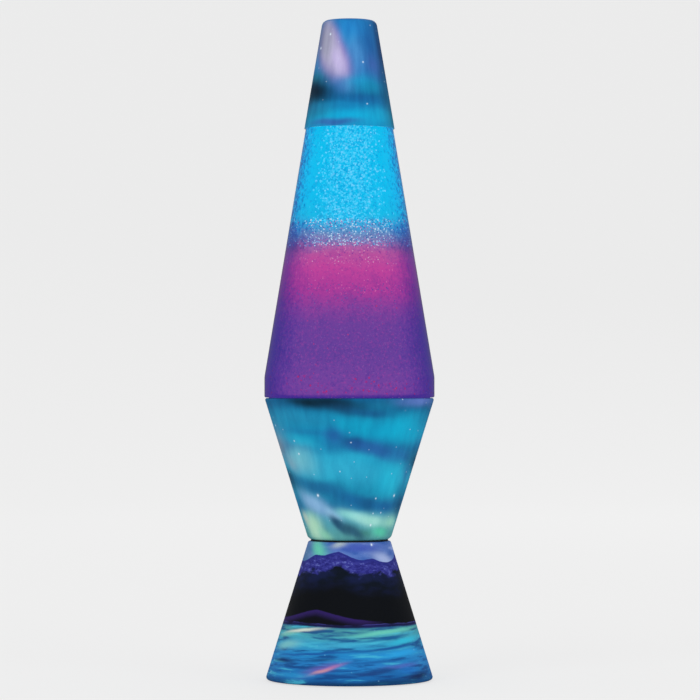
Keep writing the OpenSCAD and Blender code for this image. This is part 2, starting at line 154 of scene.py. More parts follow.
def rounded(path, steps=10):
    """An outline through (radius, height, rounding) corners, each rounded by an arc."""
    points = [path[0][:2]]
    for before, here, after in zip(path, path[1:], path[2:]):
        corner, rounding = np.array(here[:2], float), here[2]
        if rounding == 0:
            points.append(tuple(corner))
            continue
        u = unit(np.array(before[:2]) - corner)
        v = unit(np.array(after[:2]) - corner)
        half = math.acos(float(u @ v)) / 2
        centre = corner + unit(u + v) * rounding / math.sin(half)
        first = corner + u * rounding / math.tan(half) - centre
        last = corner + v * rounding / math.tan(half) - centre
        start = math.atan2(first[1], first[0])
        turn = math.atan2(first[0] * last[1] - first[1] * last[0], float(first @ last))
        points += arc(centre, rounding, start, start + turn, steps)
    points.append(path[-1][:2])
    return points


def densified(points, step=4.0):
    """The same outline with points at most step apart."""
    out = [points[0]]
    for a, b in zip(points, points[1:]):
        count = max(1, math.ceil(math.dist(a, b) / step))
        out += [tuple(np.array(a) + (np.array(b) - a) * k / count) for k in range(1, count + 1)]
    return out


def turned(strips, closed=True, around=AROUND, ripple=None):
    """A mesh made by turning outline strips about Z. Each strip's faces take the material of its number.

    ripple(radius, height, angles) gives the radii round one ring of a piece that isn't quite round.
    """
    points, skins = [], []
    for skin, strip in enumerate(strips):
        points += strip
        skins += [skin] * len(strip)
    angles = np.arange(around) * 2 * math.pi / around
    verts, rings = [], []
    for r, z in points:
        first = len(verts)
        if r < ON_AXIS:
            verts.append((0, 0, z * MM))
            rings.append([first] * around)
            continue
        radii = ripple(r, z, angles) if ripple else np.full(around, r)
        verts += [(q * math.cos(a) * MM, q * math.sin(a) * MM, z * MM) for q, a in zip(radii, angles)]
        rings.append(list(range(first, first + around)))
    faces, face_skins = [], []
    last = len(points) - 1
    pairs = [(k, k + 1) for k in range(last)] + [(last, 0)] * closed
    for low, high in pairs:
        for j in range(around):
            k = (j + 1) % around
            corners = [rings[low][j], rings[low][k], rings[high][k], rings[high][j]]
            face = list(dict.fromkeys(corners))
            if len(face) > 2:
                faces.append(face)
                face_skins.append(skins[low])
    mesh = bpy.data.meshes.new("turned")
    mesh.from_pydata(verts, [], faces)
    mesh.polygons.foreach_set("material_index", face_skins)
    bm = bmesh.new()
    bm.from_mesh(mesh)
    bmesh.ops.remove_doubles(bm, verts=bm.verts, dist=1e-7)
    bmesh.ops.recalc_face_normals(bm, faces=bm.faces)
    bm.to_mesh(mesh)
    bm.free()
    return mesh


def smooth(mesh, angle=SHARP):
    """Smooth shading, with folds steeper than angle left crisp."""
    mesh.shade_smooth()
    mesh.set_sharp_from_angle(angle=angle)


def piece(name, mesh, materials, body, stands_for):
    """Adds a mesh as a piece of the lamp."""
    smooth(mesh)
    for material in materials:
        mesh.materials.append(material)
    ob = bpy.data.objects.new(name, mesh)
    bpy.context.collection.objects.link(ob)
    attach(ob, body)
    if stands_for:
        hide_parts(*stands_for)
    return ob


def cut_round(ob, centre, axis, radius, length):
    """Cuts a round hole through a piece and applies it."""
    bpy.ops.mesh.primitive_cylinder_add(vertices=64, radius=radius * MM, depth=length * MM)
    tool = bpy.context.object
    tool.location = Vector(centre) * MM
    tool.rotation_euler = Vector(axis).to_track_quat("Z", "Y").to_euler()
    cut = ob.modifiers.new("hole", "BOOLEAN")
    cut.object, cut.operation, cut.solver = tool, "DIFFERENCE", "EXACT"
    depsgraph = bpy.context.evaluated_depsgraph_get()
    cut_mesh = bpy.data.meshes.new_from_object(ob.evaluated_get(depsgraph))
    ob.modifiers.clear()
    ob.data = cut_mesh
    smooth(ob.data)
    bpy.data.objects.remove(tool)


def dress(node, material, bevel=0.12):
    """Gives a CAD node its material, and softens its machined edges by bevel millimetres."""
    ob = nodes[node]
    ob.data.materials.clear()
    ob.data.materials.append(material)
    weld = ob.modifiers.new("weld", "WELD")
    weld.merge_threshold = 1e-6
    if bevel:
        edge = ob.modifiers.new("edge", "BEVEL")
        edge.width, edge.segments, edge.limit_method = bevel * MM, 2, "ANGLE"
        edge.angle_limit = SHARP
        edge.harden_normals = False
    normals = ob.modifiers.new("normals", "WEIGHTED_NORMAL")
    normals.keep_sharp = True


# ---- Shader building ----


def linear(c):
    """A display value, 0 to 255, as the linear value that shaders take."""
    share = c / 255
    return ((share + 0.055) / 1.055) ** 2.4 if share > 0.04045 else share / 12.92


def colour(r, g, b):
    """A display colour as a linear colour with full alpha."""
    return (linear(r), linear(g), linear(b), 1)


def operator(name, swapped=False):
    """One of Wire's arithmetic operators, as a math node."""
    return lambda a, b: a.paint.math(name, b, a) if swapped else a.paint.math(name, a, b)


class Wire:
    """A number or colour that a shader works out, with the usual arithmetic."""

    def __init__(self, paint, socket):
        self.paint = paint
        self.socket = socket

    __add__ = __radd__ = operator("ADD")
    __sub__ = operator("SUBTRACT")
    __rsub__ = operator("SUBTRACT", swapped=True)
    __mul__ = __rmul__ = operator("MULTIPLY")
    __truediv__ = operator("DIVIDE")
    __pow__ = operator("POWER")


class Paint:
    """A node material, with a short call for each kind of node that it needs."""

    def __init__(self, name):
        self.material = bpy.data.materials.new(name)
        self.material.use_nodes = True
        self.tree = self.material.node_tree
        self.tree.nodes.clear()
        place = Wire(self, self.add("ShaderNodeTexCoord").outputs["Object"])
        parts = self.add("ShaderNodeSeparateXYZ", Vector=place)
        self.x, self.y, self.z = (self.math("DIVIDE", Wire(self, parts.outputs[k]), MM) for k in range(3))
        self.azimuth = self.math("ARCTAN2", self.x, self.math("MULTIPLY", self.y, -1))

    def add(self, kind, **inputs):
        node = self.tree.nodes.new(kind)
        for name, value in inputs.items():
            self.put(node.inputs[name.replace("_", " ")], value)
        return node

    def put(self, socket, value):
        """Links or sets a socket. A tuple of three is a display colour, and one of four is linear."""
        if isinstance(value, Wire):
            self.tree.links.new(value.socket, socket)
        elif isinstance(value, tuple) and len(value) == 3:
            socket.default_value = colour(*value)
        else:
            socket.default_value = value

    def math(self, operation, *values, clamp=False):
        node = self.tree.nodes.new("ShaderNodeMath")
        node.operation, node.use_clamp = operation, clamp
        for socket, value in zip(node.inputs, values):
            self.put(socket, value)
        return Wire(self, node.outputs[0])

    def step(self, value, start, end):
        """0 below start and 1 above end, or the other way round, with a smooth way between."""
        node = self.tree.nodes.new("ShaderNodeMapRange")
        node.interpolation_type = "SMOOTHSTEP"
        falls = start > end
        numbers = (value, min(start, end), max(start, end), falls, not falls)
        for socket, number in zip(node.inputs, numbers):
            self.put(socket, number)
        return Wire(self, node.outputs[0])

    def mix(self, share, a, b, blend="MIX"):
        node = self.tree.nodes.new("ShaderNodeMix")
        node.data_type, node.blend_type = "RGBA", blend
        self.put(node.inputs[0], share)
        self.put(node.inputs[6], a)
        self.put(node.inputs[7], b)
        return Wire(self, node.outputs[2])

    def ramp(self, value, stops, interpolation="EASE"):
        """A colour ramp through (position, display colour) stops."""
        node = self.tree.nodes.new("ShaderNodeValToRGB")
        ramp = node.color_ramp
        ramp.interpolation = interpolation
        while len(ramp.elements) < len(stops):
            ramp.elements.new(0.5)
        for element, (at, shade) in zip(ramp.elements, sorted(stops)):
            element.position, element.color = at, colour(*shade)
        self.put(node.inputs[0], value)
        return Wire(self, node.outputs[0])

    def graded(self, height, stops, interpolation="EASE"):
        """A colour ramp through (height in millimetres, display colour) stops."""
        low, high = stops[0][0], stops[-1][0]
        shares = [((z - low) / (high - low), shade) for z, shade in stops]
        return self.ramp((height - low) / (high - low), shares, interpolation)

    def vector(self, x, y, z=0.0):
        return Wire(self, self.add("ShaderNodeCombineXYZ", X=x, Y=y, Z=z).outputs[0])

    def noise_at(self, vector, detail=2.0, roughness=0.5, scale=1.0):
        kind = "ShaderNodeTexNoise"
        node = self.add(kind, Vector=vector, Scale=scale, Detail=detail, Roughness=roughness)
        return Wire(self, node.outputs["Fac"])

    def noise(self, size, detail=2.0, roughness=0.5, scale=1.0):
        """Noise with lumps of size millimetres, one length or one for each axis."""
        x, y, z = size if isinstance(size, tuple) else (size, size, size)
        place = self.vector(self.x / x, self.y / y, self.z / z)
        return self.noise_at(place, detail, roughness, scale)

    def cells(self, vector, dimensions="3D"):
        """Distance to the nearest of a scatter of points, and that point's three random numbers."""
        node = self.tree.nodes.new("ShaderNodeTexVoronoi")
        node.voronoi_dimensions = dimensions
        self.put(node.inputs["Vector"], vector)
        self.put(node.inputs["Scale"], 1.0)
        parts = self.add("ShaderNodeSeparateColor", Color=Wire(self, node.outputs["Color"]))
        return Wire(self, node.outputs["Distance"]), [Wire(self, s) for s in parts.outputs]

    def bump(self, height, depth, strength=1.0):
        """A bump whose height runs from 0 to depth millimetres."""
        node = self.add("ShaderNodeBump", Height=height, Distance=depth * MM, Strength=strength)
        return Wire(self, node.outputs[0])

    def shader(self, kind="ShaderNodeBsdfPrincipled", **inputs):
        return Wire(self, self.add(kind, **inputs).outputs[0])

    def end(self, shader):
        out = self.tree.nodes.new("ShaderNodeOutputMaterial")
        self.put(out.inputs["Surface"], shader)
        return self.material

    def finish(self, **inputs):
        """Ends the material in one principled shader, and returns the material."""
        return self.end(self.shader(**inputs))

    def end_mixed(self, share, a, b):
        """Ends the material in two shaders, mixed by share."""
        node = self.add("ShaderNodeMixShader", Fac=share)
        self.put(node.inputs[1], a)
        self.put(node.inputs[2], b)
        return self.end(Wire(self, node.outputs[0]))


# ---- Artwork: an aurora over a lake ----


def brush(paint, picture, shade, azimuth, z, width, height, lean, strength, radius, hard):
    """Lays one soft oval of colour on a picture.

    azimuth and lean are in degrees; width and height are the oval's half sizes on the surface; hard
    is 1 for the softest edge.
    """
    turn = paint.math("WRAP", paint.warped[0] - math.radians(azimuth), math.pi, -math.pi)
    spot = paint.vector(turn * radius, paint.warped[1] - z)
    oval = paint.tree.nodes.new("ShaderNodeMapping")
    oval.vector_type = "TEXTURE"
    paint.put(oval.inputs["Vector"], spot)
    oval.inputs["Rotation"].default_value[2] = math.radians(lean)
    oval.inputs["Scale"].default_value = (width, height, 1)
    size = paint.tree.nodes.new("ShaderNodeVectorMath")
    size.operation = "LENGTH"
    paint.tree.links.new(oval.outputs[0], size.inputs[0])
    reach = Wire(paint, size.outputs["Value"]) ** (2 * hard)
    cover = paint.math("EXPONENT", reach * -1.0) * strength
    return paint.mix(cover, picture, shade)


def brushed(paint, picture, radius, strokes, hard=1.0):
    """Lays strokes of (colour, azimuth, height, half width, half height, lean, strength) on a picture.

    radius is the surface's own, in millimetres. A stroke may end in its own edge hardness.
    """
    for shade, azimuth, z, width, height, lean, strength, *edge in strokes:
        edge = edge[0] if edge else hard
        picture = brush(paint, picture, shade, azimuth, z, width, height, lean, strength, radius, edge)
    return picture


def stars(paint, picture, spacing, radius, share=0.35, shade=(226, 242, 255)):
    """Small soft stars, most faint and a few bright."""
    place = paint.vector(paint.azimuth * (radius / spacing), paint.z / spacing)
    distance, (pick, size, _) = paint.cells(place, "2D")
    reach = (size**4 * 0.42 + 0.24) / spacing
    core = paint.math("EXPONENT", (distance / reach) ** 2 * -1.0) * (size * 0.7 + 0.3)
    halo = paint.math("EXPONENT", distance / reach * -1.1) * (size**6) * 0.35
    lit = paint.step(pick, share, share - 0.02)
    return paint.mix(paint.math("MULTIPLY", core + halo, lit, clamp=True), picture, shade)


def back_seam(paint, picture, radius):
    """The print's overlap, a thin pale line with a dark edge down the back."""
    off = (math.pi - paint.math("ABSOLUTE", paint.azimuth)) * radius
    edge = paint.mix(paint.step(off, 0.5, 0.3) * 0.5, picture, (16, 34, 56))
    return paint.mix(paint.step(off, 0.22, 0.12) * 0.45, edge, (170, 196, 212))


def lacquered(paint, picture, gloss=0.4):
    """Printed film under satin lacquer: faint grain, a little orange peel and soft handling marks."""
    grain = paint.noise(0.35, 1)
    inked = paint.mix(0.05, picture, paint.step(grain, 0.3, 0.7), "OVERLAY")
    rubbed = paint.noise((9, 9, 22), 3)
    peel = paint.noise(1.6, 2)
    return paint.finish(
        Base_Color=inked,
        Roughness=paint.step(rubbed, 0.25, 0.8) * 0.12 + gloss,
        Normal=paint.bump(peel, 0.012, 0.6),
        Specular_IOR_Level=0.1,
    )


def warp(paint, amount, size):
    """Sets the picture's azimuth and height with slow, soft swirls in them."""
    across = paint.noise((size, size, size * 1.4), 2) - 0.5
    upward = paint.noise((size * 1.3, size * 1.3, size), 2, scale=1.01) - 0.5
    paint.warped = (paint.azimuth + across * (amount / 30), paint.z + upward * amount)


def curtains(paint, picture, width):
    """The aurora's upright folds, as light and shade."""
    folds = paint.noise((width, width, width * 12), 3)
    return paint.mix(0.35, picture, paint.step(folds, 0.25, 0.75) * 0.44 + 0.28, "SOFT_LIGHT")


SKY_STROKES = [
    # colour, azimuth, height, half width, half height, lean, strength, edge hardness where it isn't soft
    ((20, 66, 118), 74, 350, 10, 26, 6, 0.95),
    ((14, 52, 94), 96, 340, 10, 40, 6, 0.95),
    ((58, 92, 164), 42, 343, 6, 9, 12, 0.9),
    ((28, 90, 158), 38, 356, 8, 10, 0, 0.8),
    ((86, 144, 206), 10, 347, 4.5, 12, 2, 0.5),
    ((28, 124, 196), -4, 363, 10, 5, 0, 0.7),
    ((96, 98, 168), -36, 349, 10.5, 19, 26, 0.9, 2),
    ((150, 128, 196), -30, 347.5, 8, 17, 26, 0.95, 2),
    ((180, 174, 206), -34, 350, 6.6, 16.5, 25, 0.95, 1.6),
    ((152, 154, 176), -50, 355, 6.5, 13, 14, 0.85, 1.3),
    ((192, 180, 224), -19, 343.5, 3.4, 8.5, 22, 0.9, 1.5),
    ((104, 108, 142), -84, 356, 7, 12, 0, 0.9),
    ((16, 112, 140), -66, 335, 10, 5, 0, 0.9),
    ((26, 96, 170), -16, 331, 6, 5, 10, 0.6),
    ((4, 38, 60), -58, 327.5, 11, 7, -12, 1.0, 1.4),
    ((2, 24, 42), -84, 326, 10, 7, 0, 1.0, 1.3),
    ((26, 156, 206), 14, 332, 9, 4, -4, 0.7),
    ((14, 138, 176), 32, 329, 7, 4, 0, 0.6),
    ((16, 96, 156), 28, 322, 13, 2.6, -6, 0.8, 1.3),
    ((12, 92, 130), 80, 326, 10, 12, 0, 0.8),
    ((22, 124, 164), -48, 316.5, 9, 5.5, 0, 0.85, 1.3),
    ((20, 92, 122), -86, 315, 8, 9, 0, 0.85),
    ((18, 150, 196), 42, 315, 9, 4.5, 0, 0.7),
    ((18, 104, 128), 88, 313, 8, 8, 0, 0.85),
    ((52, 82, 160), -22, 310.2, 11, 2.0, 3, 0.75, 1.4),
    # the back
    ((10, 44, 92), 150, 346, 16, 16, 12, 0.8),
    ((132, 128, 190), -146, 346, 8, 13, -22, 0.85, 1.8),
    ((24, 160, 214), 178, 316, 16, 6, -8, 0.85),
    ((8, 46, 76), -134, 323, 12, 5, 0, 0.9, 1.3),
]


def sky_print():
    """The cap: lilac, blue and cyan aurora light with stars."""
    paint = Paint("sky_print")
    warp(paint, 4, 14)
    picture = paint.graded(paint.warped[1], [
        (308, (12, 146, 196)), (314, (6, 170, 216)), (319.5, (12, 128, 182)),
        (324, (8, 100, 152)), (331, (16, 124, 178)), (338, (32, 122, 186)),
        (348, (40, 132, 194)), (358, (32, 136, 198)), (366, (26, 122, 184)),
    ])
    picture = brushed(paint, picture, 19, SKY_STROKES)
    picture = curtains(paint, picture, 3.2)
    lid = paint.step(paint.z, LAMP_H - 1.6, LAMP_H - 0.3)
    picture = paint.mix(lid * 0.8, picture, (16, 104, 170))
    picture = stars(paint, picture, 7.5, 20)
    return lacquered(paint, back_seam(paint, picture, 20))


AURORA_STROKES = [
    ((4, 40, 60), -22, 155.5, 18, 3.8, -4, 1.0, 1.4),
    ((12, 56, 88), -6, 152, 8, 3.4, -8, 0.8),
    ((16, 84, 136), 16, 149.5, 12, 2.6, -6, 0.8, 1.2),
    ((22, 130, 168), 24, 154, 9, 3, 0, 0.5),
    ((92, 120, 196), 58, 156, 13, 3.2, -4, 0.9, 1.2),
    ((26, 138, 180), -42, 147, 20, 4.6, -8, 0.85),
    ((6, 158, 196), 6, 142.5, 9, 5, -4, 0.9, 1.3),
    ((4, 170, 208), 44, 140, 13, 8, -4, 1.0, 1.4),
    ((20, 112, 166), -34, 139, 18, 2.4, -4, 0.6),
    ((30, 88, 158), -12, 137, 6.5, 4.4, -14, 0.8, 1.2),
    ((18, 66, 128), 6, 132.5, 6, 3.4, -22, 0.9, 1.3),
    ((34, 92, 160), 24, 128.5, 15, 3.6, -14, 0.9, 1.3),
    ((34, 110, 180), 50, 126, 9, 4, -8, 0.8),
    ((22, 170, 206), -42, 133.5, 11, 3.4, -16, 0.85, 1.2),
    ((118, 140, 160), -78, 132, 9, 9, -30, 0.8),
    ((110, 190, 208), -46, 124, 10, 6.5, -24, 0.95, 1.2),
    ((130, 168, 186), -60, 122, 7, 5, -40, 0.7),
    ((48, 172, 208), -8, 120, 16, 7, -10, 0.7),
    ((12, 50, 90), 90, 122, 22, 6.5, -10, 0.9, 1.1),
    ((36, 96, 156), 64, 116, 5, 6, 10, 0.6),
    ((10, 66, 96), -74, 112.5, 10, 5.5, -16, 0.95, 1.2),
    ((22, 104, 152), -34, 108.5, 20, 4.6, -10, 0.95, 1.4),
    ((30, 178, 212), 42, 112, 9, 11, -4, 0.95, 1.4),
    ((18, 96, 150), 6, 101.5, 15, 4.0, -12, 0.9, 1.3),
    ((12, 74, 118), 22, 99, 5.5, 4.2, -10, 0.8, 1.2),
    ((20, 98, 156), 44, 97, 12, 4, -8, 0.9),
    ((14, 78, 120), 72, 97, 9, 8, 0, 0.8),
    ((134, 180, 222), -42, 99, 12, 4.8, -24, 0.95, 1.3),
    ((140, 186, 222), -22, 94, 9, 2.8, -24, 0.85, 1.2),
    ((146, 218, 216), 4, 92.6, 11, 2.8, -12, 0.95, 1.2),
    ((158, 222, 210), 28, 89.5, 13, 3.3, -7, 0.95, 1.3),
    ((150, 214, 196), 60, 88, 10, 3.2, -6, 0.9, 1.2),
    ((88, 202, 172), 44, 83.5, 9, 2.8, -6, 0.95, 1.2),
    ((30, 74, 108), -14, 87.8, 8.5, 3.0, -32, 1.0, 1.5),
    ((44, 94, 118), 4, 84, 12, 3.2, -20, 1.0, 1.4),
    ((60, 130, 120), 22, 83, 5, 2, -10, 0.6),
    ((172, 220, 190), -50, 86, 8, 8.5, 42, 0.95, 1.5),
    ((190, 206, 190), -64, 91, 3.4, 4.5, 40, 0.7, 1.2),
    ((140, 206, 180), -34, 81.5, 7, 3.0, -24, 0.9, 1.3),
    # the back
    ((10, 60, 100), 130, 148, 26, 8, -8, 0.9, 1.3),
    ((12, 160, 200), 160, 134, 26, 7, -8, 0.9, 1.3),
    ((112, 190, 210), -128, 120, 20, 6, -14, 0.9, 1.2),
    ((30, 90, 156), 150, 116, 22, 5, -14, 0.9, 1.3),
    ((28, 164, 196), -160, 106, 20, 6, -10, 0.8, 1.2),
    ((134, 206, 196), 170, 94, 22, 3.4, -12, 0.9, 1.3),
    ((24, 76, 104), -140, 86, 16, 4, -16, 0.9, 1.3),
    ((92, 190, 166), 120, 86, 16, 4, -10, 0.8, 1.2),
]


def aurora_print():
    """The upper cone: slanting bands of teal, blue and mint light with stars."""
    paint = Paint("aurora_print")
    warp(paint, 6, 22)
    picture = paint.graded(paint.warped[1], [
        (80, (84, 156, 158)), (92, (76, 160, 182)), (98, (32, 122, 166)), (106, (20, 138, 176)),
        (116, (36, 162, 198)), (124, (28, 160, 198)), (131, (18, 122, 172)),
        (138, (6, 148, 190)), (146, (10, 136, 178)), (154, (8, 98, 146)),
    ])
    picture = brushed(paint, picture, 35, AURORA_STROKES)
    picture = curtains(paint, picture, 5)
    picture = stars(paint, picture, 8, 36)
    return lacquered(paint, back_seam(paint, picture, 36))


def peaks(paint, base, summits, roughness, seed):
    """Height of a skyline: a rough line with summits of (azimuth, height, half width in degrees)."""
    place = paint.vector(paint.x / 9 + seed, paint.y / 9)
    line = paint.noise_at(place, 6, 0.6) * (2 * roughness) + (base - roughness)
    for azimuth, height, width in summits:
        turn = paint.math("WRAP", paint.azimuth - math.radians(azimuth), math.pi, -math.pi)
        slope = paint.math("ABSOLUTE", turn / math.radians(width))
        line = line + paint.math("EXPONENT", (slope**1.5) * -1.0) * height
    return line


WATER_STROKES = [
    ((206, 218, 204), -44, 29.6, 16, 0.9, 7, 1.0),
    ((120, 190, 176), -62, 27, 10, 1.2, 4, 0.8),
    ((100, 196, 180), 34, 29.0, 26, 1.2, 3, 1.0),
    ((118, 190, 196), -58, 21.5, 12, 2.2, 6, 0.9),
    ((18, 92, 150), 34, 25.8, 20, 0.8, 4, 0.8),
    ((46, 184, 214), 52, 24, 14, 1.5, 5, 0.95),
    ((66, 172, 206), -8, 22.4, 14, 1.4, 4, 0.7),
    ((14, 76, 146), 34, 20.6, 26, 0.8, 4, 0.9),
    ((38, 158, 222), 48, 17.8, 16, 1.6, 4, 0.95),
    ((24, 84, 156), -30, 17.6, 26, 0.7, 4, 0.9),
    ((14, 50, 106), -58, 13.2, 11, 1.3, 2, 0.95),
    ((16, 60, 118), -22, 14.4, 9, 1.0, 2, 0.8),
    ((22, 84, 150), 20, 13.5, 20, 0.8, 3, 0.7),
    ((80, 96, 180), 42, 11.2, 12, 1.2, 3, 0.7),
    ((104, 92, 176), -22, 9.0, 11, 2.4, 16, 0.7),
    ((180, 112, 168), -15, 9.8, 8, 1.0, 18, 0.7),
    ((206, 148, 150), -21, 8.0, 6, 0.9, 16, 0.7),
    ((26, 64, 124), 16, 7.6, 12, 1.2, 2, 0.8),
    ((16, 36, 84), 56, 5.0, 12, 2.0, 4, 0.95),
    ((30, 116, 200), 48, 9.0, 7, 2.0, 0, 0.6),
    ((36, 140, 200), -46, 5.5, 14, 1.6, 3, 0.8),
    ((10, 56, 100), 10, 1.6, 36, 1.5, 2, 0.9),
    ((176, 210, 206), 160, 28.5, 20, 1.2, 4, 0.95),
    ((50, 170, 202), -150, 21, 24, 1.8, 4, 0.85),
    ((14, 70, 136), 150, 17.5, 24, 0.9, 4, 0.85),
    ((40, 140, 206), 120, 12, 22, 2.0, 3, 0.8),
    ((150, 100, 176), -156, 8.5, 10, 1.6, 14, 0.7),
]


def lake_print():
    """The lower cone: a pale sky, violet hills, a dark shore and the aurora's light on a lake."""
    paint = Paint("lake_print")
    warp(paint, 3, 20)
    clouds = paint.noise((12, 12, 4), 5)
    sky = paint.ramp(clouds, [
        (0.38, (58, 96, 172)), (0.55, (84, 116, 186)), (0.72, (132, 152, 208)),
    ])
    sky = brushed(paint, sky, 27, [
        ((98, 196, 172), -46, 74, 9, 4.4, -30, 1.0),
        ((196, 210, 196), -14, 76.6, 5, 1.6, 10, 0.7),
        ((80, 122, 160), -72, 71, 7, 8, 0, 0.8),
        ((160, 176, 220), 48, 68.5, 9, 3.4, -20, 0.95),
        ((66, 84, 176), 16, 75, 14, 2.4, 0, 0.8),
        ((90, 180, 178), 150, 74, 16, 4, -12, 0.8),
        ((150, 170, 214), -130, 71, 12, 4, 10, 0.8),
    ], 1.2)

    summits = [(-14, 6.6, 24), (-48, 3.6, 18), (30, 2.2, 12), (86, 4.6, 20), (140, 5, 22), (-130, 6, 26)]
    skyline = peaks(paint, 66.0, summits, 0.9, 0)
    snow = paint.noise((3.4, 3.4, 1.5), 6, 0.72)
    rock = paint.ramp(snow, [
        (0.42, (36, 36, 116)), (0.56, (54, 56, 144)), (0.7, (120, 132, 206)),
    ])
    depth = skyline - paint.z
    rock = paint.mix(paint.step(depth, 2.6, 0.4), rock, (38, 42, 128))
    veil = paint.noise((8, 8, 4), 5, 0.6) * 13
    veil = veil + paint.math("COSINE", paint.azimuth + 0.6) * 1.5
    gullies = paint.noise((14, 14, 6), 3)
    dark = paint.ramp(gullies, [(0.4, (9, 18, 32)), (0.65, (17, 26, 62))])
    rock = paint.mix(paint.step(depth - veil, -0.6, 1.8), rock, dark)
    rock = paint.mix(paint.step(depth, 12, 22), rock, (9, 12, 17))
    sky = stars(paint, sky, 7, 27, 0.3)
    picture = paint.mix(paint.step(depth, -0.15, 0.2), sky, rock)

    low_hills = peaks(paint, 34.6, [(-32, 6.8, 32), (150, 6, 34), (-128, 3, 24)], 0.5, 3)
    below_hills = low_hills - paint.z
    near = paint.mix(paint.step(below_hills, 0.2, 4.5), (44, 28, 92), (11, 12, 20))
    west = paint.step(paint.math("COSINE", paint.azimuth + 0.7), 0.25, 0.7)
    picture = paint.mix(paint.step(below_hills, -0.2, 0.4) * west, picture, near)

    shore = peaks(paint, 32.0, [(-50, 1.0, 30), (40, 0.5, 20), (160, 0.8, 40)], 0.3, 5)
    below = shore - paint.z
    mist = paint.step(paint.noise_at(paint.vector(paint.x / 14, paint.y / 14), 3), 0.35, 0.65)
    picture = paint.mix(paint.step(below, -1.7, 0.0) * (mist * 0.5 + 0.3), picture, (30, 34, 100))
    line = paint.step(paint.math("ABSOLUTE", below + 0.7 + mist * 0.6), 0.3, 0.08)
    picture = paint.mix(line * mist * 0.55, picture, (84, 86, 186))

    lines = paint.vector(paint.x / 22, paint.y / 22, paint.z / 2.4 - paint.azimuth * 0.3)
    ripples = paint.noise_at(lines, 4, 0.55)
    water = paint.graded(paint.warped[1], [
        (0, (12, 66, 116)), (5, (22, 100, 168)), (12, (34, 124, 192)), (17, (32, 132, 196)),
        (22, (48, 150, 194)), (27, (66, 160, 180)), (30, (70, 150, 160)), (33, (30, 80, 130)),
    ])
    water = paint.mix(paint.step(ripples, 0.53, 0.36) * 0.85, water, (16, 66, 130))
    water = paint.mix(paint.step(ripples, 0.56, 0.7) * 0.7, water, (70, 186, 214))
    water = brushed(paint, water, 42, WATER_STROKES, 1.3)
    water = stars(paint, water, 7, 42, 0.3, (130, 196, 230))
    picture = paint.mix(paint.step(below, 0.0, 0.9), picture, water)
    return lacquered(paint, back_seam(paint, picture, 36))


# ---- Other materials ----


def metal(name, shade, roughness, streak=(1, 1, 1), wear=0.15, bare=0.9):
    """Plated metal with drawn marks along its longest streak axis. bare is 1 without any lacquer."""
    paint = Paint(name)
    marks = paint.noise(streak, 4, 0.6)
    dull = tuple(c * (1 - wear) for c in shade)
    return paint.finish(
        Base_Color=paint.mix(paint.step(marks, 0.3, 0.7), dull, shade),
        Metallic=bare,
        Roughness=marks * 0.2 + (roughness - 0.1),
        Normal=paint.bump(marks, 0.01, 0.4),
    )


def moulded(name, shade, roughness, grain=0.5, depth=0.02, lift=1.25):
    """Moulded plastic, rubber or ceramic with a fine grain."""
    paint = Paint(name)
    pebble = paint.noise(grain, 3)
    cloud = paint.noise(12, 2)
    light = tuple(min(255, c * lift) for c in shade)
    return paint.finish(
        Base_Color=paint.mix(paint.step(cloud, 0.35, 0.7), shade, light),
        Roughness=pebble * 0.15 + (roughness - 0.07),
        Normal=paint.bump(pebble, depth),
    )


def inside_lacquer():
    """The white heat-proof coat on the inside of the sheet metal, a little toned by heat."""
    paint = Paint("inside_lacquer")
    toned = paint.noise((14, 14, 20), 3)
    return paint.finish(
        Base_Color=paint.mix(paint.step(toned, 0.4, 0.75), (226, 224, 216), (206, 198, 180)),
        Roughness=paint.noise(1, 2) * 0.1 + 0.4,
        Normal=paint.bump(paint.noise(0.8, 2), 0.01),
    )


# Colours of the glowing liquid up the globe, (height, in the clear of the glitter, in the thick of it)
LIQUID = [
    (142, (116, 66, 156), (80, 50, 150)),
    (158, (112, 64, 154), (80, 50, 146)),
    (163, (116, 66, 156), (78, 50, 146)),
    (183, (100, 62, 152), (78, 54, 142)),
    (198, (108, 62, 152), (84, 56, 146)),
    (207, (134, 62, 152), (92, 48, 142)),
    (217, (172, 58, 150), (116, 50, 142)),
    (229, (192, 66, 152), (150, 58, 150)),
    (237, (184, 84, 155), (140, 60, 150)),
    (242, (158, 108, 168), (104, 66, 156)),
    (247, (108, 138, 188), (70, 84, 164)),
    (252, (56, 164, 216), (40, 94, 174)),
    (258, (14, 186, 230), (14, 120, 196)),
    (270, (0, 190, 238), (6, 150, 216)),
    (308, (0, 190, 238), (8, 150, 216)),
    (325, (6, 192, 240), (10, 140, 210)),
]


def unsampled(material):
    """A glowing material that is only seen, and isn't sampled as a lamp."""
    material.cycles.emission_sampling = "NONE"
    return material


